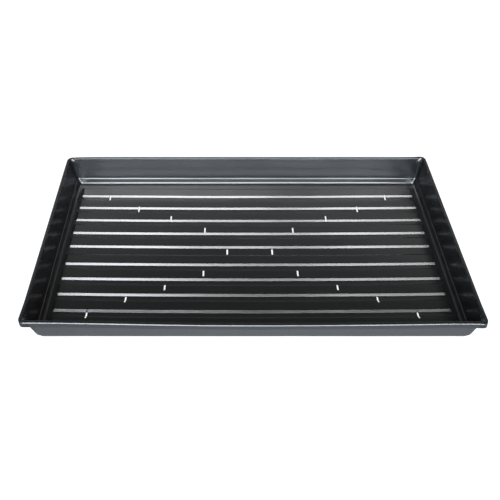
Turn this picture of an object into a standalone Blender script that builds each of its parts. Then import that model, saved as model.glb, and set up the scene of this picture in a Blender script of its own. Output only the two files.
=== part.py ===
# A moulded propagation tray: one even sheet with a turned-down rim, a stepped and drafted
# wall, long raised lands with drain channels between them, and eighteen drain slots.
# Metres, +Z up. The origin is under the middle of the tray, on the surface it stands on.
from math import cos, pi, sin, tan

import bmesh
import bpy
from mathutils import Vector

# Outside sizes
RIM_LENGTH = 0.544
RIM_WIDTH = 0.2794
TRAY_HEIGHT = 0.0485
SHEET = 0.0012

# Rim: a narrow flat flange whose outer edge turns down into a lip
FLANGE_WIDTH = 0.0048
LIP_DEPTH = 0.008
LIP_FLARE = 0.0005
RIM_INNER_RADIUS = 0.001
RIM_OUTER_RADIUS = 0.0019
RIM_CORNER_RADIUS = 0.008

# Wall: a drafted upper wall, a small step, and a base band that leans in more
UPPER_WALL_LEAN = 0.0034
STEP_HEIGHT = 0.0098
STEP_WIDTH = 0.0009
STEP_RISE = 0.0008
STEP_RADIUS = 0.0007
BASE_BAND_LEAN = 0.0021
FOOT_RADIUS = 0.0035
FLOOR_CORNER_RADIUS = 0.006

# Lands: long raised strips with hipped ends, side by side across the floor
LAND_HEIGHT = 0.0021
LAND_TOP_WIDTH = 0.0131
LAND_SIDE_LEAN = 0.0025
LAND_END_LEAN = 0.004
LAND_CORNER_RADIUS = 0.0045
LAND_EDGE_RADIUS = 0.0006
LAND_FOOT_RADIUS = 0.0006
CHANNEL_WIDTH = 0.00565
CENTRE_CHANNEL_WIDTH = 0.0113
LAND_END_MARGIN = 0.0069
LEAST_SIDE_MARGIN = 0.005

# Drain slots, set out along a flattened X. The shares are of the corner slots' own places.
SLOT_LENGTH = 0.010
SLOT_WIDTH = 0.0022
CORNER_SLOT_INSET_X = 0.0518
CORNER_SLOT_INSET_Y = 0.0287
CENTRE_SLOT_X = 0.0312
SLOT_SHARES = ((1.0, 1.0), (0.778, 0.768), (0.542, 0.586), (0.302, 0.368))

# Facets, and lengths that only help the drawing
CORNER_STEPS = 6
LAND_CORNER_STEPS = 3
FILLET_STEPS = 3
SLOT_END_STEPS = 4
SHARPEST_RADIUS = 0.0002
GUIDE_RUN = 0.012
CUTTER_OVERRUN = 0.004

# What follows from the sizes above
STEP_INSET = FLANGE_WIDTH + UPPER_WALL_LEAN
BAND_INSET = STEP_INSET + STEP_WIDTH
FLOOR_INSET = BAND_INSET + BASE_BAND_LEAN
FLOOR_HALF_LENGTH = RIM_LENGTH / 2 - FLOOR_INSET
FLOOR_HALF_WIDTH = RIM_WIDTH / 2 - FLOOR_INSET
LAND_HALF_LENGTH = FLOOR_HALF_LENGTH - LAND_END_MARGIN
LAND_FOOT_WIDTH = LAND_TOP_WIDTH + 2 * LAND_SIDE_LEAN
LAND_PITCH = LAND_FOOT_WIDTH + CHANNEL_WIDTH

# Sections are paths of (outward, height, fillet radius), drawn along the upper skin. The
# lower skin is the same path moved one sheet to its right.
WALL_SECTION = (
    (-FLOOR_INSET - GUIDE_RUN, SHEET, 0),
    (-FLOOR_INSET, SHEET, FOOT_RADIUS),
    (-BAND_INSET, STEP_HEIGHT, STEP_RADIUS),
    (-STEP_INSET, STEP_HEIGHT + STEP_RISE, STEP_RADIUS),
    (-FLANGE_WIDTH, TRAY_HEIGHT, RIM_INNER_RADIUS),
    (-LIP_FLARE, TRAY_HEIGHT, RIM_OUTER_RADIUS),
    (0, TRAY_HEIGHT - LIP_DEPTH, 0),
)
LAND_SECTION = (
    (-GUIDE_RUN, SHEET, 0),
    (0, SHEET, LAND_FOOT_RADIUS),
    (LAND_SIDE_LEAN, SHEET + LAND_HEIGHT, LAND_EDGE_RADIUS),
    (LAND_SIDE_LEAN + GUIDE_RUN, SHEET + LAND_HEIGHT, 0),
)


def turn_at(before, corner, after):
    """Angle by which a section path turns at a corner, positive to the left."""
    return -(corner - before).angle_signed(after - corner)


def moved_section(section, shift):
    """The section path moved to its right by shift, with its fillets kept concentric."""
    points = [Vector(corner[:2]) for corner in section]
    last = len(points) - 1
    moved = []
    for index, (point, corner) in enumerate(zip(points, section)):
        before = points[index - 1] if index else 2 * point - points[1]
        after = points[index + 1] if index < last else 2 * point - points[last - 1]
        into = (point - before).normalized()
        out = (after - point).normalized()
        right_in = Vector((into.y, -into.x))
        bisector = (right_in + Vector((out.y, -out.x))).normalized()
        place = point + bisector * (shift / bisector.dot(right_in))
        grown = shift if turn_at(before, point, after) > 0 else -shift
        radius = max(corner[2] + grown, SHARPEST_RADIUS) if 0 < index < last else 0
        moved.append((place.x, place.y, radius))
    return moved


def rounded_section(section):
    """Points along a section path with an arc at each corner that has a radius."""
    points = [Vector(corner[:2]) for corner in section]
    path = [points[0]]
    for index in range(1, len(points) - 1):
        before, point, after = points[index - 1:index + 2]
        turn = turn_at(before, point, after)
        shortest_side = min((point - before).length, (after - point).length)
        reach = min(section[index][2] * tan(abs(turn) / 2), 0.48 * shortest_side)
        into = (point - before).normalized()
        radius = reach / tan(abs(turn) / 2)
        side = 1 if turn > 0 else -1
        start = point - into * reach
        towards_centre = Vector((-into.y, into.x)) * side
        centre = start + towards_centre * radius
        for step in range(FILLET_STEPS + 1):
            angle = abs(turn) * step / FILLET_STEPS
            path.append(centre + into * sin(angle) * radius - towards_centre * cos(angle) * radius)
    path.append(points[-1])
    return path


def rounded_rectangle(half_length, half_width, radius, height, steps):
    """A level ring of points, anticlockwise, with each corner as an arc."""
    radius = max(radius, SHARPEST_RADIUS)
    ring = []
    for quarter in range(4):
        middle = (quarter + 0.5) * pi / 2
        centre_x = (half_length - radius) * (1 if cos(middle) > 0 else -1)
        centre_y = (half_width - radius) * (1 if sin(middle) > 0 else -1)
        for step in range(steps + 1):
            angle = (quarter + step / steps) * pi / 2
            ring.append((centre_x + radius * cos(angle), centre_y + radius * sin(angle), height))
    return ring


def wall_ring(outward, height):
    """The tray's outline at one point of the wall section; its corners grow towards the floor."""
    corner_growth = FLOOR_CORNER_RADIUS + FLOOR_INSET - RIM_CORNER_RADIUS
    corner_radius = RIM_CORNER_RADIUS + corner_growth * (1 - height / TRAY_HEIGHT) + outward
    return rounded_rectangle(
        RIM_LENGTH / 2 + outward, RIM_WIDTH / 2 + outward, corner_radius, height, CORNER_STEPS)


def land_ring(inward, height, middle):
    """One land's outline at one point of the land section."""
    end_inward = inward * LAND_END_LEAN / LAND_SIDE_LEAN
    ring = rounded_rectangle(
        LAND_HALF_LENGTH - end_inward, LAND_FOOT_WIDTH / 2 - inward,
        LAND_CORNER_RADIUS - inward, height, LAND_CORNER_STEPS)
    return [(x, y + middle, z) for x, y, z in ring]


def add_loft(mesh, outlines):
    """Quads between successive outlines. Returns the first and the last loop of vertices."""
    loops = [[mesh.verts.new(point) for point in outline] for outline in outlines]
    for lower, upper in zip(loops, loops[1:]):
        for index in range(len(lower)):
            mesh.faces.new((lower[index - 1], lower[index], upper[index], upper[index - 1]))
    return loops[0], loops[-1]


def loop_edges(mesh, loop):
    return [mesh.edges.get((loop[index - 1], loop[index])) for index in range(len(loop))]


def add_skin(mesh, shift):
    """One side of the sheet: wall, lands and floor. Returns the loop along the lip's edge."""
    wall_path = rounded_section(moved_section(WALL_SECTION, shift))[1:]
    floor_loop, lip_loop = add_loft(mesh, [wall_ring(*point) for point in wall_path])
    floor_edges = loop_edges(mesh, floor_loop)

    land_path = rounded_section(moved_section(LAND_SECTION, shift))[1:-1]
    for middle in land_places():
        foot_loop, top_loop = add_loft(mesh, [land_ring(*point, middle) for point in land_path])
        mesh.faces.new(top_loop)
        floor_edges += loop_edges(mesh, foot_loop)
    bmesh.ops.triangle_fill(mesh, use_beauty=True, edges=floor_edges, normal=(0, 0, 1))
    return lip_loop


def land_places():
    """Middles of the lands, front to back: as many as the floor holds on each side."""
    first = CENTRE_CHANNEL_WIDTH / 2 + LAND_FOOT_WIDTH / 2
    room = FLOOR_HALF_WIDTH - LEAST_SIDE_MARGIN - LAND_FOOT_WIDTH / 2 - first
    count = int(room / LAND_PITCH) + 1
    back = [first + index * LAND_PITCH for index in range(count)]
    return [-place for place in reversed(back)] + back


def slot_places():
    """Middles of the drain slots: a pair in the centre channel and the four arms of the X."""
    corner_x = FLOOR_HALF_LENGTH - CORNER_SLOT_INSET_X
    corner_y = FLOOR_HALF_WIDTH - CORNER_SLOT_INSET_Y
    places = [(-CENTRE_SLOT_X, 0), (CENTRE_SLOT_X, 0)]
    for share_x, share_y in SLOT_SHARES:
        for side in (-1, 1):
            for end in (-1, 1):
                places.append((side * share_x * corner_x, end * share_y * corner_y))
    return places


def slot_outline(middle_x, middle_y, height):
    """A round-ended slot that runs front to back."""
    radius = SLOT_WIDTH / 2
    outline = []
    for end in (1, -1):
        centre_y = middle_y + end * (SLOT_LENGTH / 2 - radius)
        for step in range(SLOT_END_STEPS + 1):
            angle = pi * step / SLOT_END_STEPS
            outline.append((middle_x + end * radius * cos(angle),
                            centre_y + end * radius * sin(angle), height))
    return outline


def mesh_object(name, mesh):
    """Close the mesh, point its faces outwards and put it in the scene under a name."""
    bmesh.ops.recalc_face_normals(mesh, faces=mesh.faces)
    data = bpy.data.meshes.new(name)
    mesh.to_mesh(data)
    mesh.free()
    item = bpy.data.objects.new(name, data)
    bpy.context.scene.collection.objects.link(item)
    return item


def slot_cutters():
    mesh = bmesh.new()
    top = SHEET + LAND_HEIGHT + CUTTER_OVERRUN
    for place in slot_places():
        bottom_loop, top_loop = add_loft(
            mesh, [slot_outline(*place, height) for height in (-CUTTER_OVERRUN, top)])
        mesh.faces.new(bottom_loop)
        mesh.faces.new(top_loop)
    cutters = mesh_object("slot_cutters", mesh)
    cutters.hide_render = True
    cutters.display_type = "WIRE"
    return cutters


def black_plastic():
    material = bpy.data.materials.new("black_moulded_plastic")
    material.use_nodes = True
    shader = material.node_tree.nodes["Principled BSDF"]
    shader.inputs["Base Color"].default_value = (0.010, 0.0105, 0.0115, 1)
    shader.inputs["Roughness"].default_value = 0.34
    shader.inputs["Metallic"].default_value = 0
    return material


def tray():
    mesh = bmesh.new()
    upper_lip = add_skin(mesh, 0)
    lower_lip = add_skin(mesh, SHEET)
    for index in range(len(upper_lip)):
        mesh.faces.new((upper_lip[index - 1], upper_lip[index],
                        lower_lip[index], lower_lip[index - 1]))
    item = mesh_object("tray", mesh)
    item.data.materials.append(black_plastic())

    cut = item.modifiers.new("drain_slots", "BOOLEAN")
    cut.operation = "DIFFERENCE"
    cut.solver = "EXACT"
    cut.object = slot_cutters()

    item.data.shade_smooth()
    item.data.set_sharp_from_angle(angle=pi / 6)
    return item


for leftover in list(bpy.data.objects):
    bpy.data.objects.remove(leftover)
tray()
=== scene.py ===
import math

import bmesh
import bpy
import numpy as np
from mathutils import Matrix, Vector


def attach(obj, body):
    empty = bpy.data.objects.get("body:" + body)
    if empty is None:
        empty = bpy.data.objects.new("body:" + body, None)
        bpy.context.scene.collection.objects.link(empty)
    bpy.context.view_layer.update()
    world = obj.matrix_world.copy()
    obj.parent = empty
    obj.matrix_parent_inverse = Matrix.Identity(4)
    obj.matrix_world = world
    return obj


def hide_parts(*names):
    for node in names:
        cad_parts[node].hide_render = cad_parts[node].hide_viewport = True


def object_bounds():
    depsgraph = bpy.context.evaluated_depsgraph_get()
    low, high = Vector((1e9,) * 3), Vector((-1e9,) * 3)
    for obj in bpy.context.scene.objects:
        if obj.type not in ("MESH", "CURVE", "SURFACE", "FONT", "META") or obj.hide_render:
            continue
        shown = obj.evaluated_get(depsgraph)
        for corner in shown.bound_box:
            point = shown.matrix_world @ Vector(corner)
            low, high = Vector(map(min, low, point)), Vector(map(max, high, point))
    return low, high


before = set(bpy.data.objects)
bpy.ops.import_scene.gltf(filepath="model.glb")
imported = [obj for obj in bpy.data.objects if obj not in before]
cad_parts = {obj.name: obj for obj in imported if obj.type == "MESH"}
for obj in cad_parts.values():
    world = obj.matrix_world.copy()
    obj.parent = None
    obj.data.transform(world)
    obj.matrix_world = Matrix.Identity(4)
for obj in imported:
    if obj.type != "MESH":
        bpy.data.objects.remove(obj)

cadLow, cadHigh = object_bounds()
print("frame loaded:", sorted(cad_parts))

# The tray's sizes in metres. Its length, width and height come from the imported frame.
traySizes = {
    "sheet": 0.0012,
    "flangeWidth": 0.0048,
    "lipDepth": 0.008,
    "lipFlare": 0.0005,
    "lipTighter": 0.0022,     # how much smaller the corner radius is at the lip's lower edge
    "rimInnerRadius": 0.001,
    "rimOuterRadius": 0.0019,
    "rimCornerRadius": 0.008,
    "upperWallLean": 0.0034,
    "stepHeight": 0.0091,
    "stepWidth": 0.0009,
    "stepRise": 0.0008,
    "stepRadius": 0.0007,
    "baseBandLean": 0.0021,
    "footRadius": 0.0035,
    "floorCornerRadius": 0.006,
    # Depths below the rim, and the radius that the wall's corners gain there, rear and front
    "fillDepths": (0, 0.0052, 0.011, 0.017, 0.034, 0.0385, 0.0425),
    "rearFill": (0, 0.0078, 0.0020, -0.0008, -0.0034, -0.0038, 0),
    "frontFill": (0, 0.0076, 0.0026, 0.0017, 0, 0, 0),
}
landSizes = {
    "height": 0.0021,
    "topWidth": 0.0131,
    "sideLean": 0.0025,
    "endLean": 0.004,
    "cornerRadius": 0.0016,
    "edgeRadius": 0.0006,
    "footRadius": 0.0006,
    "channel": 0.00565,
    "centreChannel": 0.0113,
    "endMargin": 0.0060,
    "landsPerSide": 5,
}
slotSizes = {
    "length": 0.010,
    "width": 0.0022,
    "cornerInsetX": 0.0518,   # from the floor's corner to the outermost slot of an arm
    "cornerInsetY": 0.0287,
    "centreX": 0.0312,
    # How far out each slot of an arm lies, as shares of the outermost one's x and y
    "shares": ((1.0, 1.0), (0.778, 0.768), (0.542, 0.586), (0.302, 0.368)),
}
meshSteps = {
    "cornerHalf": 6,          # segments in half of a wall corner
    "fillet": 4,              # segments in a fillet of the wall
    "landFillet": 3,
    "filletShare": 0.48,      # the most of a straight run that a fillet may take
    "leastFillet": 0.0002,
    "guideRun": 0.012,        # length of the straight lead-in and lead-out of a section
    "fineSpacing": 0.0006,    # grid lines near the land ends and the floor's border
    "fineReachX": 0.009,
    "fineReachY": 0.0035,
    "plainSpacing": 0.022,
    "leastSpacing": 0.00016,  # lines nearer than this are merged
    "borderGap": 0.0028,      # flat floor between the grid and the foot fillet
    "extraRing": 0.66,        # one more wall ring, at this share of the first fill depth
    "slotSnap": (0.9, 1.3),   # grid points between these shares of a slot's radius go onto it
    "sharpAngle": 50,
}
# The flex of the sheet in metres, left and right where there are two values
flexAmounts = {
    "rearBow": 0.0020,        # how far a land's middle stands forward of its ends, rear land
    "frontBow": 0.0025,       # and front land
    "frontRimBow": 0.0033,
    "rimBowPower": 1.5,       # how it grows with height
    "rearSpread": 0.0010,     # how far the rear wall stands back
    # How far the front corners stand to the right and forward, and the rear corners back
    "cornerSpread": (-0.0011, 0.0006),
    "cornerForward": (0.0006, 0.0011),
    "rearCornerBack": (-0.0010, 0.0012),
    "leftEndBack": 0.0011,    # how far the front rim's left end stands back
    "rimLean": 0.0017,        # how far the rim stands to the left of the floor
    "frontFootShift": 0.0008,    # how far the front wall's foot stands to the right
    "wallRipple": 0.00022,
    "floorRipple": 0.00008,
}
# Where each flex starts and where it is full, in metres out from the tray's middle
flexReach = {
    "cornerX": (0.244, 0.264),
    "cornerY": (0.112, 0.132),
    "rearCornerX": (0.249, 0.264),
    "rearCornerY": (0.120, 0.135),
    "leftEndX": (0.060, 0.180),
    "leftEndY": (0.0798, 0.1398),
}
# Ripples along a length: radians per metre, phase and share
rippleWaves = {
    "alongSides": ((41, 1.3, 1.0), (97, 0.4, 0.6)),
    "alongEnds": ((67, 2.1, 1.0), (133, 5.2, 0.6)),
    "floorX": (37, 0.7),
    "floorY": (53, 1.1),
}

halfLength = cadHigh.x
halfWidth = cadHigh.y
trayHeight = cadHigh.z
sheet = traySizes["sheet"]
stepInset = traySizes["flangeWidth"] + traySizes["upperWallLean"]
bandInset = stepInset + traySizes["stepWidth"]
floorInset = bandInset + traySizes["baseBandLean"]
floorHalfLength = halfLength - floorInset
floorHalfWidth = halfWidth - floorInset
landHalfLength = floorHalfLength - landSizes["endMargin"]
landFootWidth = landSizes["topWidth"] + 2 * landSizes["sideLean"]
landPitch = landFootWidth + landSizes["channel"]
firstLand = landSizes["centreChannel"] / 2 + landFootWidth / 2
landMiddles = firstLand + landPitch * np.arange(landSizes["landsPerSide"])
landMiddles = np.concatenate([-landMiddles[::-1], landMiddles])
guideRun = meshSteps["guideRun"]

# A section is a path of corners: outward distance, height and fillet radius.
wallSection = [
    (-floorInset - guideRun, sheet, 0),
    (-floorInset, sheet, traySizes["footRadius"]),
    (-bandInset, traySizes["stepHeight"], traySizes["stepRadius"]),
    (-stepInset, traySizes["stepHeight"] + traySizes["stepRise"], traySizes["stepRadius"]),
    (-traySizes["flangeWidth"], trayHeight, traySizes["rimInnerRadius"]),
    (-traySizes["lipFlare"], trayHeight, traySizes["rimOuterRadius"]),
    (0, trayHeight - traySizes["lipDepth"], 0),
]
landSection = [
    (-guideRun, 0, 0),
    (0, 0, landSizes["footRadius"]),
    (landSizes["sideLean"], landSizes["height"], landSizes["edgeRadius"]),
    (landSizes["sideLean"] + guideRun, landSizes["height"], 0),
]


# A section moved to its right by a shift: each corner goes along its mitre by the shift over
# the cosine of half the turn, and a fillet grows or shrinks so that both skins stay concentric.
def movedSection(section, shift):
    points = np.array([corner[:2] for corner in section], float)
    runs = np.diff(points, axis=0)
    runs /= np.linalg.norm(runs, axis=1)[:, None]
    into = np.vstack([runs[:1], runs])
    out = np.vstack([runs, runs[-1:]])
    rightIn = np.column_stack([into[:, 1], -into[:, 0]])
    rightOut = np.column_stack([out[:, 1], -out[:, 0]])
    mitre = rightIn + rightOut
    mitre /= np.linalg.norm(mitre, axis=1)[:, None]
    places = points + mitre * (shift / (mitre * rightIn).sum(axis=1))[:, None]
    leftTurn = into[:, 0] * out[:, 1] - into[:, 1] * out[:, 0] > 0
    radii = np.array([corner[2] for corner in section]) + np.where(leftTurn, shift, -shift)
    radii = np.maximum(radii, meshSteps["leastFillet"])
    return [(*place, radius) for place, radius in zip(places, radii)]


# The path with an arc at each inner corner: the arc's centre plus the radius times the cosine
# and sine of the angle turned so far.
def roundedSection(section, steps):
    points = np.array([corner[:2] for corner in section], float)
    fillets = [corner[2] for corner in section[1:]]
    path = [points[:1]]
    for before, point, after, radius in zip(points, points[1:], points[2:], fillets):
        into, out = point - before, after - point
        shortest = min(np.linalg.norm(into), np.linalg.norm(out))
        into, out = into / np.linalg.norm(into), out / np.linalg.norm(out)
        turn = math.atan2(into[0] * out[1] - into[1] * out[0], into @ out)
        reach = min(radius * math.tan(abs(turn) / 2), meshSteps["filletShare"] * shortest)
        radius = reach / math.tan(abs(turn) / 2)
        toCentre = np.array([-into[1], into[0]]) * math.copysign(1, turn)
        angle = np.linspace(0, abs(turn), steps + 1)[:, None]
        path.append(point - into * reach + toCentre * radius
                    + radius * (np.sin(angle) * into - np.cos(angle) * toCentre))
    return np.vstack(path + [points[-1:]])


landTopPath = roundedSection(landSection, meshSteps["landFillet"])
landUnderPath = roundedSection(movedSection(landSection, sheet), meshSteps["landFillet"])


# Height of a skin of the floor: for each land, the distance inward from its rounded outline,
# with the long way squeezed by the ends' gentler lean, is looked up in the land section.
def floorHeight(x, y, path, base):
    squeeze = landSizes["sideLean"] / landSizes["endLean"]
    radius = landSizes["cornerRadius"]
    height = np.zeros_like(x)
    for middle in landMiddles:
        fromEnd = (landHalfLength - np.abs(x)) * squeeze
        fromSide = landFootWidth / 2 - np.abs(y - middle)
        nearest = np.minimum(fromEnd, fromSide)
        toCentre = np.hypot(np.maximum(radius - fromEnd, 0), np.maximum(radius - fromSide, 0))
        inward = np.where(nearest > radius, nearest, radius - toCentre)
        height = np.maximum(height, np.interp(inward, path[:, 0], path[:, 1] - path[0, 1]))
    return height + base


# Grid lines in order between two ends, each kept if it is far enough from the one kept before
def mergedLines(lines, low, high):
    lines = np.sort(np.concatenate([lines, [low, high]]))
    lines = lines[(lines >= low) & (lines <= high)]
    kept = [lines[0]]
    for line in lines[1:]:
        if line - kept[-1] > meshSteps["leastSpacing"]:
            kept.append(line)
    kept[-1] = high
    return np.array(kept)


# The slots' middles: four arms of four, each a share of the way to the floor's corners, and
# one slot on each side of the tray's middle.
def slotMiddles():
    cornerX = floorHalfLength - slotSizes["cornerInsetX"]
    cornerY = floorHalfWidth - slotSizes["cornerInsetY"]
    arm = np.array(slotSizes["shares"]) * (cornerX, cornerY)
    signs = np.array([(-1, -1), (-1, 1), (1, -1), (1, 1)])
    arms = (arm[:, None, :] * signs[None, :, :]).reshape(-1, 2)
    centre = np.array([(-slotSizes["centreX"], 0), (slotSizes["centreX"], 0)])
    return np.vstack([arms, centre])


# The floor's grid lines: where the land section bends, at the slots' edges, close together
# near the border, and wide apart elsewhere.
def floorLines(borderHalfLength, borderHalfWidth):
    steps, slots = meshSteps, slotMiddles()
    slotRadius = slotSizes["width"] / 2
    diagonal = slotRadius * math.sqrt(0.5)
    inward = np.concatenate([landTopPath[1:-1, 0], landUnderPath[-3:-1, 0]])
    stretch = landSizes["endLean"] / landSizes["sideLean"]
    fineX = np.arange(borderHalfLength - steps["fineReachX"], borderHalfLength,
                      steps["fineSpacing"])
    endX = np.concatenate([landHalfLength - inward * stretch, fineX])
    acrossSlot = np.array([-slotRadius, -diagonal, 0, diagonal, slotRadius])
    slotX = (slots[:, 0][:, None] + acrossSlot).ravel()
    plainX = np.arange(0, borderHalfLength, steps["plainSpacing"])
    linesX = np.concatenate([endX, -endX, slotX, plainX, -plainX])

    sideY = landFootWidth / 2 - inward
    landY = (landMiddles[:, None] + np.concatenate([sideY, -sideY, [0]])).ravel()
    slotEnd = slotSizes["length"] / 2
    alongSlot = np.array([slotEnd, slotEnd - slotRadius + diagonal, slotEnd - slotRadius])
    slotY = (slots[:, 1][:, None] + np.concatenate([alongSlot, -alongSlot])).ravel()
    fineY = np.arange(borderHalfWidth - steps["fineReachY"], borderHalfWidth,
                      steps["fineSpacing"])
    linesY = np.concatenate([landY, slotY, fineY, -fineY, [0]])
    return (mergedLines(linesX, -borderHalfLength, borderHalfLength),
            mergedLines(linesY, -borderHalfWidth, borderHalfWidth))


# How each point of the grid's border goes onto a ring: x = (half length - radius) * u
# + radius * cos(a), and y the same with v and sin(a). Each side runs from -1 to 1 between
# its corners, and turns by an eighth of a circle at each end in a few points.
def perimeterPlan(linesX, linesY, half):
    def side(lines):
        last = len(lines) - 1
        index = np.arange(last)
        straight = (lines[:-1] - lines[half]) / (lines[last - half] - lines[half])
        along = np.clip(2 * straight - 1, -1, 1)
        along[index <= half] = -1
        along[index >= last - half] = 1
        turn = np.where(index < half, index / half - 1, 0)
        turn = turn + np.maximum(index - last + half, 0) / half
        return along, turn * math.pi / 4

    alongX, turnX = side(linesX)
    alongY, turnY = side(linesY)
    one = np.ones_like
    u = np.concatenate([alongX, one(alongY), -alongX, -one(alongY)])
    v = np.concatenate([-one(alongX), alongY, one(alongX), -alongY])
    a = np.concatenate([turnX - math.pi / 2, turnY, turnX + math.pi / 2, turnY + math.pi])
    return u, v, a


# The wall path with more points on the upper wall, at the depths where the corners' fill bends:
# their outward places lie on the straight line between the wall's two ends.
def dividedWall(path):
    below = np.argmax(path[:, 1] > trayHeight / 2) - 1
    fillDepths = traySizes["fillDepths"]
    depths = np.array([*fillDepths[-3:0:-1], fillDepths[1] * meshSteps["extraRing"]])
    heights = path[:, 1].max() - depths
    outward = np.interp(heights, path[below:below + 2, 1], path[below:below + 2, 0])
    return np.insert(path, below + 1, np.column_stack([outward, heights]), axis=0)


# Wall rings: each point of the wall section carried round a rounded rectangle, whose corner
# radius is the rim's plus the outward distance. On the wall it also grows in a straight line
# from the rim down and gains the fill at that depth, and on the lip it shrinks in a straight
# line towards the lower edge.
def wallRings(path, plan):
    u, v, a = plan
    outward, height = path[:, 0][:, None], path[:, 1][:, None]
    depth = height.max() - height
    onWall = outward < -traySizes["flangeWidth"] / 2
    growth = traySizes["floorCornerRadius"] + floorInset - traySizes["rimCornerRadius"]
    onLip = -traySizes["lipTighter"] * depth / traySizes["lipDepth"]
    change = np.where(onWall, growth * (1 - height / trayHeight), onLip)
    frontFill = np.interp(depth, traySizes["fillDepths"], traySizes["frontFill"])
    rearFill = np.interp(depth, traySizes["fillDepths"], traySizes["rearFill"])
    fill = np.where(v < 0, frontFill, rearFill) * onWall
    radius = traySizes["rimCornerRadius"] + outward + change + fill
    x = (halfLength + outward - radius) * u + radius * np.cos(a)
    y = (halfWidth + outward - radius) * v + radius * np.sin(a)
    return np.stack([x, y, np.broadcast_to(height, x.shape)], axis=-1)


# From 0 where a reach starts to 1 where it ends, in a straight line
def ramp(value, reach):
    return np.clip((value - reach[0]) / (reach[1] - reach[0]), 0, 1)


# A sum of sines along a length, each times its share
def ripple(length, waves):
    return sum(share * np.sin(length * rate + phase) for rate, phase, share in waves)


# The gentle flex of a thin sheet. The lands and the front rim bow forward as a parabola along
# the tray, the corners and the left end of the front rim move in straight ramps, the rim leans
# to the left with height, and every face has a slow ripple.
def flexed(points):
    flex, reach, waves = flexAmounts, flexReach, rippleWaves
    x, y, z = points[:, 0].copy(), points[:, 1].copy(), points[:, 2].copy()
    middle = 1 - (x / halfLength) ** 2
    backToFront = np.clip(0.5 - y / (2 * floorHalfWidth), 0, 1)
    lastLand = landMiddles[-1] + landFootWidth / 2
    nearWall = ramp(np.abs(y), (lastLand, lastLand + landSizes["endMargin"]))
    climb = np.clip(z / trayHeight, 0, 1)
    landBow = flex["rearBow"] + (flex["frontBow"] - flex["rearBow"]) * backToFront
    wallBow = np.where(y < 0, flex["frontRimBow"] * climb ** flex["rimBowPower"], 0)
    corner = ramp(np.abs(x), reach["cornerX"]) * ramp(-y, reach["cornerY"]) * climb
    rearCorner = ramp(np.abs(x), reach["rearCornerX"]) * ramp(y, reach["rearCornerY"]) * climb
    leftEnd = ramp(-x, reach["leftEndX"]) * ramp(-y, reach["leftEndY"]) * climb

    x += corner * np.where(x < 0, *flex["cornerSpread"])
    y += rearCorner * np.where(x < 0, *flex["rearCornerBack"])
    x += flex["frontFootShift"] * nearWall * (y < 0) * (1 - climb)
    y -= corner * np.where(x < 0, *flex["cornerForward"])
    y += flex["rearSpread"] * nearWall * (y > 0) + flex["leftEndBack"] * leftEnd
    y -= (landBow * (1 - nearWall) + wallBow * nearWall) * middle

    swell = flex["wallRipple"] * climb * (1 - climb) * 4
    y += swell * ripple(x, waves["alongSides"]) * np.sign(y)
    x += swell * ripple(y, waves["alongEnds"]) * np.sign(x)
    x -= flex["rimLean"] * climb
    (rateX, phaseX), (rateY, phaseY) = waves["floorX"], waves["floorY"]
    z += (flex["floorRipple"] * (1 - climb)
          * np.sin(x * rateX + phaseX) * np.cos(y * rateY + phaseY))
    return np.column_stack([x, y, np.maximum(z, 0)])


# Cells whose middle is nearer to a slot's centre line than its radius are in the slot, and grid
# points close to its round ends go straight out or in to the radius.
def cutSlots(x, y):
    cellX = (x[:-1, :-1] + x[1:, 1:]) / 2
    cellY = (y[:-1, :-1] + y[1:, 1:]) / 2
    radius = slotSizes["width"] / 2
    run = slotSizes["length"] / 2 - radius
    least, most = (radius * share for share in meshSteps["slotSnap"])
    inSlot = np.zeros(cellX.shape, bool)
    for middleX, middleY in slotMiddles():
        beyond = np.maximum(np.abs(cellY - middleY) - run, 0)
        inSlot |= np.hypot(cellX - middleX, beyond) < radius
        endY = middleY + np.sign(y - middleY) * run
        away = np.hypot(x - middleX, y - endY)
        nearEnd = (np.abs(y - middleY) > run) & (away < most) & (away > least)
        scale = np.where(nearEnd, radius / np.maximum(away, least), 1)
        x = np.where(nearEnd, middleX + (x - middleX) * scale, x)
        y = np.where(nearEnd, endY + (y - endY) * scale, y)
    return x, y, inSlot


# Quads between each ring of points and the next one
def strips(loops):
    here, there = loops[:-1], loops[1:]
    quads = [here, there, np.roll(there, -1, axis=1), np.roll(here, -1, axis=1)]
    return np.stack(quads, axis=-1).reshape(-1, 4)


# A quad down from every grid edge that has a slot on one side only
def slotWalls(grid, inSlot, underStart):
    padded = np.pad(inSlot, 1)
    alongY = padded[1:, 1:-1] != padded[:-1, 1:-1]
    alongX = padded[1:-1, 1:] != padded[1:-1, :-1]
    edges = np.vstack([np.stack([grid[:, :-1][alongY], grid[:, 1:][alongY]], axis=-1),
                       np.stack([grid[:-1, :][alongX], grid[1:, :][alongX]], axis=-1)])
    return np.column_stack([edges, edges[:, ::-1] + underStart])


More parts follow.
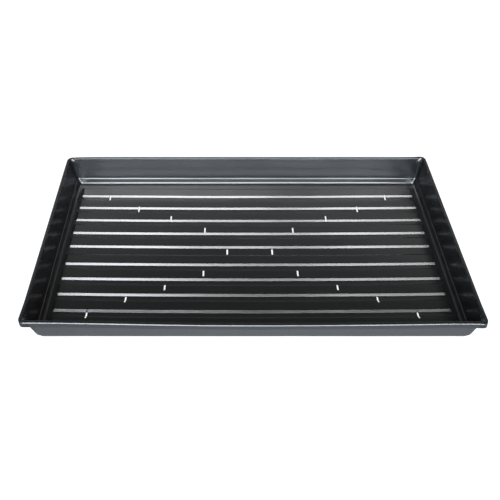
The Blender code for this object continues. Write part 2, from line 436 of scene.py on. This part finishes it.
# The tray: two skins of the floor over one grid, two sets of wall rings that start from the
# grid's border, the lip's edge between the last rings, and the walls of the slots.
def trayMesh():
    underSection = movedSection(wallSection, sheet)
    topPath = dividedWall(roundedSection(wallSection, meshSteps["fillet"])[1:])
    underPath = dividedWall(roundedSection(underSection, meshSteps["fillet"])[1:])
    footGap = topPath[0, 0] - meshSteps["borderGap"]
    linesX, linesY = floorLines(halfLength + footGap, halfWidth + footGap)
    x, y, inSlot = cutSlots(*np.meshgrid(linesX, linesY, indexing="ij"))
    top = np.stack([x, y, floorHeight(x, y, landTopPath, sheet)], axis=-1).reshape(-1, 3)
    under = np.stack([x, y, floorHeight(x, y, landUnderPath, 0)], axis=-1).reshape(-1, 3)
    plan = perimeterPlan(linesX, linesY, meshSteps["cornerHalf"])
    topRings = wallRings(topPath, plan).reshape(-1, 3)
    underRings = wallRings(underPath, plan).reshape(-1, 3)
    points = np.vstack([top, under, topRings, underRings])

    grid = np.arange(len(top)).reshape(x.shape)
    border = np.concatenate([grid[:-1, 0], grid[-1, :-1], grid[:0:-1, -1], grid[0, :0:-1]])
    underStart, ringStart = len(top), 2 * len(top)
    rings = ringStart + np.arange(len(topRings) + len(underRings)).reshape(-1, len(border))
    topLoops = np.vstack([border, rings[:len(topPath)]])
    underLoops = np.vstack([border + underStart, rings[len(topPath):]])
    cells = np.stack([grid[:-1, :-1], grid[1:, :-1], grid[1:, 1:], grid[:-1, 1:]], axis=-1)
    cells = cells[~inSlot]
    faces = np.vstack([
        cells, cells[:, ::-1] + underStart,
        strips(topLoops), strips(underLoops)[:, ::-1],
        strips(np.vstack([topLoops[-1], underLoops[-1]])),
        slotWalls(grid, inSlot, underStart),
    ])

    # Grid points that are left inside the slots go.
    used = np.zeros(len(points), bool)
    used[faces.ravel()] = True
    faces = (np.cumsum(used) - 1)[faces]
    mesh = bpy.data.meshes.new("tray_moulding")
    mesh.from_pydata(flexed(points)[used].tolist(), [], faces.tolist())
    return mesh


# An object at the origin that shows the mesh
def addPiece(mesh, name):
    piece = bpy.data.objects.new(name, mesh)
    bpy.context.scene.collection.objects.link(piece)
    return piece


# Turns all faces outwards, and prints the open edges and the enclosed volume
def turnOutwards(mesh):
    work = bmesh.new()
    work.from_mesh(mesh)
    bmesh.ops.recalc_face_normals(work, faces=work.faces)
    openEdges = sum(not edge.is_manifold for edge in work.edges)
    volume = work.calc_volume(signed=True)
    work.to_mesh(mesh)
    work.free()
    print("tray mesh:", len(mesh.vertices), "points,", len(mesh.polygons), "faces,",
          openEdges, "open edges,", round(volume * 1e6, 1), "cm3")


blackPlastic = {
    "colour": (0.0040, 0.0042, 0.0047, 1),
    "rubbedColour": (0.012, 0.0125, 0.0135, 1),
    "roughness": (0.42, 0.50),    # from the smoothest to the dullest patch
    "dullerWhereRubbed": 0.09,
    "ior": 1.45,
    "skin": 1.0,                  # how much of a smooth moulded skin lies over it
    "endWallSkin": 0.40,          # and inside the end walls, where the sheet is drawn most
    "skinRoughness": 0.215,
    "skinIor": 1.9,
    "wallTop": 0.0016,            # from the rim down to where the duller skin ends
    "wallFade": 0.002,            # width of its edges
    "patchScale": 16,             # per metre
    "patchDetail": 3.0,
    "patchRange": (0.3, 0.7),     # of the noise, from the smoothest to the dullest
    "grainScale": 1100,
    "grainDetail": 2.0,
    "grainDepth": 0.0000005,
    "bumpDistance": 0.000022,
    "scratchScale": (5, 420, 420),
    "scratchTurn": 0.06,
    "scratchDetail": 2.0,
    # Levels of the stretched noise, and of the patches, where a rub mark starts and is full
    "scratchCrest": (0.66, 0.74),
    "scratchPatch": (0.45, 0.65),
}


# A node of a kind, with each value set on the node or else on its input of that name
def addNode(tree, kind, **values):
    node = tree.nodes.new("ShaderNode" + kind)
    for name, value in values.items():
        if hasattr(node, name):
            setattr(node, name, value)
        else:
            node.inputs[name.replace("_", " ")].default_value = value
    return node


# 0 where a value is at its start and 1 at its end, along a smooth step: three times the share
# squared, less twice the share cubed.
def addStep(tree, source, start, end):
    step = addNode(tree, "MapRange", interpolation_type="SMOOTHSTEP", From_Min=start,
                   From_Max=end)
    tree.links.new(source, step.inputs["Value"])
    return step.outputs[0]


# One value times another, plus a third where one is given
def addProduct(tree, first, second, third=None):
    product = addNode(tree, "Math", operation="MULTIPLY" if third is None else "MULTIPLY_ADD")
    for index, value in enumerate((first, second, third)):
        if isinstance(value, float):
            product.inputs[index].default_value = value
        elif value is not None:
            tree.links.new(value, product.inputs[index])
    return product.outputs[0]


# Surface detail of the moulded sheet: slow patches left by the mould, a fine satin grain, thin
# rub marks along the tray's length, and a skin that is full but on the inside of the end walls.
# Rub = crests of a stretched noise * where the patches are high. Height = patches + a share
# of the grain. Skin = 1 less a share of (far out * above the step * below the rim).
def mouldDetail():
    plastic = blackPlastic
    tree = bpy.data.node_groups.new("mould detail", "ShaderNodeTree")
    for name in ("Patch", "Rub", "Height", "Skin"):
        tree.interface.new_socket(name, in_out="OUTPUT", socket_type="NodeSocketFloat")
    out = tree.nodes.new("NodeGroupOutput")
    place = addNode(tree, "TexCoord").outputs["Object"]

    patches = addNode(tree, "TexNoise", Scale=plastic["patchScale"],
                      Detail=plastic["patchDetail"])
    grain = addNode(tree, "TexNoise", Scale=plastic["grainScale"],
                    Detail=plastic["grainDetail"])
    stretch = addNode(tree, "Mapping", Scale=plastic["scratchScale"],
                      Rotation=(0, 0, plastic["scratchTurn"]))
    scratches = addNode(tree, "TexNoise", Scale=1.0, Detail=plastic["scratchDetail"])
    for texture in (patches, grain, stretch):
        tree.links.new(place, texture.inputs["Vector"])
    tree.links.new(stretch.outputs[0], scratches.inputs["Vector"])
    crest = addStep(tree, scratches.outputs["Fac"], *plastic["scratchCrest"])
    where = addStep(tree, patches.outputs["Fac"], *plastic["scratchPatch"])
    rub = addProduct(tree, crest, where)
    grainShare = plastic["grainDepth"] / plastic["bumpDistance"]
    height = addProduct(tree, grain.outputs["Fac"], grainShare, patches.outputs["Fac"])

    split = addNode(tree, "SeparateXYZ")
    tree.links.new(place, split.inputs[0])
    side = addNode(tree, "Math", operation="ABSOLUTE")
    tree.links.new(split.outputs["X"], side.inputs[0])
    low, high = traySizes["stepHeight"] + traySizes["stepRise"], trayHeight - plastic["wallTop"]
    fade = plastic["wallFade"]
    farOut = addStep(tree, side.outputs[0], floorHalfLength - fade, floorHalfLength)
    aboveStep = addStep(tree, split.outputs["Z"], low, low + fade)
    belowRim = addStep(tree, split.outputs["Z"], high, high - fade)
    onEndWall = addProduct(tree, addProduct(tree, farOut, aboveStep), belowRim)
    skin = addNode(tree, "MapRange", To_Min=plastic["skin"], To_Max=plastic["endWallSkin"])
    tree.links.new(onEndWall, skin.inputs["Value"])

    tree.links.new(patches.outputs["Fac"], out.inputs["Patch"])
    tree.links.new(rub, out.inputs["Rub"])
    tree.links.new(height, out.inputs["Height"])
    tree.links.new(skin.outputs[0], out.inputs["Skin"])
    return tree


# Moulded black plastic under a clear, smoother skin. Its colour is a mix by the rub marks, and
# its roughness is the patches' level, plus a step where it is rubbed.
def mouldedBlack():
    plastic = blackPlastic
    material = bpy.data.materials.new("moulded black plastic")
    material.use_nodes = True
    tree = material.node_tree
    shader = tree.nodes["Principled BSDF"]
    shader.inputs["IOR"].default_value = plastic["ior"]
    shader.inputs["Coat Roughness"].default_value = plastic["skinRoughness"]
    shader.inputs["Coat IOR"].default_value = plastic["skinIor"]
    detail = tree.nodes.new("ShaderNodeGroup")
    detail.node_tree = mouldDetail()
    tree.links.new(detail.outputs["Skin"], shader.inputs["Coat Weight"])

    # On a colour mix, sockets 6 and 7 are the two colours, and output 2 is the mixed one.
    colour = addNode(tree, "Mix", data_type="RGBA")
    colour.inputs[6].default_value = plastic["colour"]
    colour.inputs[7].default_value = plastic["rubbedColour"]
    tree.links.new(detail.outputs["Rub"], colour.inputs[0])
    tree.links.new(colour.outputs[2], shader.inputs["Base Color"])

    (smooth, dull), (lowPatch, highPatch) = plastic["roughness"], plastic["patchRange"]
    patched = addNode(tree, "MapRange", From_Min=lowPatch, From_Max=highPatch,
                      To_Min=smooth, To_Max=dull)
    tree.links.new(detail.outputs["Patch"], patched.inputs["Value"])
    roughness = addProduct(tree, detail.outputs["Rub"], plastic["dullerWhereRubbed"],
                           patched.outputs[0])
    tree.links.new(roughness, shader.inputs["Roughness"])

    bump = addNode(tree, "Bump", Strength=1.0, Distance=plastic["bumpDistance"])
    tree.links.new(detail.outputs["Height"], bump.inputs["Height"])
    tree.links.new(bump.outputs[0], shader.inputs["Normal"])
    return material


trayPiece = addPiece(trayMesh(), "tray_moulding")
turnOutwards(trayPiece.data)
trayPiece.data.shade_smooth()
trayPiece.data.set_sharp_from_angle(angle=math.radians(meshSteps["sharpAngle"]))
trayPiece.data.materials.append(mouldedBlack())
weighted = trayPiece.modifiers.new("flat faces stay flat", "WEIGHTED_NORMAL")
weighted.keep_sharp = True
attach(trayPiece, "root")
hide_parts("tray")
print("tray made")

# The studio: a pale floor, a white background for camera rays, and soft lights
studio = {
    "floorHalf": 4.0,
    "floorDrop": 0.0004,      # how far the floor lies below the tray
    "floorColour": (0.30, 0.30, 0.30, 1),
    "floorRoughness": 0.9,
    "floorLift": 0.86,        # light that only the camera sees on the floor
    "sideSky": 0.002,         # what the tray sees to its left and right
    # What the tray sees behind it: sine of the height angle, brightness
    "rearSky": ((0.14, 0.0), (0.18, 0.37), (0.42, 0.37), (0.46, 0.06), (0.62, 0.08),
                (0.70, 0.28), (0.735, 1.05), (0.747, 0.75), (0.758, 0.06), (0.80, 0.02),
                (0.90, 0.04), (0.95, 0.0)),
    "rearStart": (0.2, 0.6),  # how far back it starts and is full, as the direction's y
    "background": 1.0,
    "lightDistance": 5.0,
}
# Bearings, height angles, radiance and colour of each light
studioLights = {
    "left lower window": ((-34, -11), (42, 50), 11.2, (0.90, 0.94, 1.0)),
    "left middle window": ((-34, -9), (50, 58), 9.6, (1, 1, 1)),
    "left upper window": ((-34, -9), (58, 66), 12.4, (1, 1, 1)),
    "centre middle window": ((-9, 10), (50, 58), 6.8, (1, 1, 1)),
    "centre upper window": ((-9, 12), (58, 66), 15.0, (1, 1, 1)),
    "right lower window": ((17, 38), (42, 50), 5.4, (1, 1, 1)),
    "right middle window": ((17, 38), (50, 58), 12.6, (1, 1, 1)),
    "low white wall": ((-34, 42), (10, 22), 8.6, (0.80, 0.91, 1.0)),
    "white wall": ((-34, 42), (22, 32), 15.2, (0.77, 0.88, 1.0)),
    "top of the wall": ((-34, 30), (32, 42), 1.7, (1, 1, 1)),
    "left lamp": ((-76, -50), (40, 62), 2.6, (0.5, 0.77, 1.0)),
}


# A dull floor. Its lift is a plain glow * whether the ray comes from the camera, which makes
# it look white there and puts no more light on the tray.
def floorMaterial():
    material = bpy.data.materials.new("pale floor")
    material.use_nodes = True
    tree = material.node_tree
    shader = tree.nodes["Principled BSDF"]
    shader.inputs["Base Color"].default_value = studio["floorColour"]
    shader.inputs["Roughness"].default_value = studio["floorRoughness"]
    seen = addNode(tree, "LightPath").outputs["Is Camera Ray"]
    lift = addNode(tree, "Emission", Color=(1, 1, 1, 1))
    tree.links.new(addProduct(tree, seen, studio["floorLift"]), lift.inputs["Strength"])
    both = addNode(tree, "AddShader")
    tree.links.new(shader.outputs[0], both.inputs[0])
    tree.links.new(lift.outputs[0], both.inputs[1])
    tree.links.new(both.outputs[0], tree.nodes["Material Output"].inputs["Surface"])
    return material


# One square, a hair below the tray
def addFloor():
    half, down = studio["floorHalf"], -studio["floorDrop"]
    corners = [(-half, -half, down), (half, -half, down), (half, half, down), (-half, half, down)]
    mesh = bpy.data.meshes.new("floor")
    mesh.from_pydata(corners, [], [(0, 1, 2, 3)])
    floor = addPiece(mesh, "floor")
    mesh.materials.append(floorMaterial())


# Brightness of the sky = the rear sky's level at that height * how far back the direction goes
# + the side sky. The camera sees a plain background instead.
def addWorld():
    world = bpy.data.worlds.new("studio")
    bpy.context.scene.world = world
    world.use_nodes = True
    tree = world.node_tree
    split = addNode(tree, "SeparateXYZ")
    tree.links.new(addNode(tree, "TexCoord").outputs["Generated"], split.inputs[0])
    behind = addStep(tree, split.outputs["Y"], *studio["rearStart"])
    rear = addNode(tree, "ValToRGB")
    stops = rear.color_ramp.elements
    for index, (height, level) in enumerate(studio["rearSky"]):
        stop = stops[0] if index == 0 else stops.new(height)
        stop.position = height
        stop.color = (level, level, level, 1)
    stops.remove(stops[-1])
    tree.links.new(split.outputs["Z"], rear.inputs[0])
    sky = addProduct(tree, rear.outputs[0], behind, studio["sideSky"])

    # On a number mix, sockets 2 and 3 are the two numbers.
    mix = addNode(tree, "Mix", data_type="FLOAT")
    mix.inputs[3].default_value = studio["background"]
    tree.links.new(addNode(tree, "LightPath").outputs["Is Camera Ray"], mix.inputs[0])
    tree.links.new(sky, mix.inputs[2])
    tree.links.new(mix.outputs[0], tree.nodes["Background"].inputs["Strength"])
    tree.nodes["Background"].inputs["Color"].default_value = (1, 1, 1, 1)


# An area light of a given radiance between two bearings and two height angles, in degrees from
# the tray's middle: its width is twice the distance * cos(height) * tan(half the turn), and its
# power is pi * radiance * area.
def addPanel(name, bearings, elevations, radiance, colour):
    distance = studio["lightDistance"]
    azimuth, elevation = math.radians(sum(bearings) / 2), math.radians(sum(elevations) / 2)
    halfTurn = math.radians(bearings[1] - bearings[0]) / 2
    halfRise = math.radians(elevations[1] - elevations[0]) / 2
    light = bpy.data.lights.new(name, "AREA")
    light.shape = "RECTANGLE"
    light.size = 2 * distance * math.cos(elevation) * math.tan(halfTurn)
    light.size_y = 2 * distance * math.tan(halfRise)
    light.energy = radiance * math.pi * light.size * light.size_y
    light.color = colour
    panel = bpy.data.objects.new(name, light)
    level = distance * math.cos(elevation)
    panel.location = (level * math.sin(azimuth), -level * math.cos(azimuth),
                      distance * math.sin(elevation))
    panel.rotation_euler = (math.pi / 2 - elevation, 0, azimuth)
    panel.visible_camera = False
    bpy.context.scene.collection.objects.link(panel)


addFloor()
addWorld()
for name, (bearings, elevations, radiance, colour) in studioLights.items():
    addPanel(name, bearings, elevations, radiance, colour)
print("studio made")

# The camera, fitted to the photograph: millimetres, degrees and pixels of the 500-pixel frame
cameraPlace = {
    "right": -33.5, "front": 471.3, "up": 625.7, "pitch": 42.71,
    "focalPixels": 553.1, "axisX": 225.6, "axisY": 150.5, "frame": 500,
    "sensorWidth": 36, "clipMetres": (0.05, 30),
}


# Lens = focal pixels over frame pixels * sensor width. The shifts put the optical axis where it
# is in the photograph, which is off its middle.
def addCamera():
    place = cameraPlace
    data = bpy.data.cameras.new("camera")
    data.sensor_width = place["sensorWidth"]
    data.lens = place["focalPixels"] / place["frame"] * data.sensor_width
    data.shift_x = 0.5 - place["axisX"] / place["frame"]
    data.shift_y = place["axisY"] / place["frame"] - 0.5
    data.clip_start, data.clip_end = place["clipMetres"]
    camera = bpy.data.objects.new("camera", data)
    camera.location = (place["right"] / 1000, -place["front"] / 1000, place["up"] / 1000)
    camera.rotation_euler = (math.radians(90 - place["pitch"]), 0, 0)
    bpy.context.scene.collection.objects.link(camera)
    bpy.context.scene.camera = camera


addCamera()
bpy.context.scene.view_settings.view_transform = "Standard"
print("camera made")
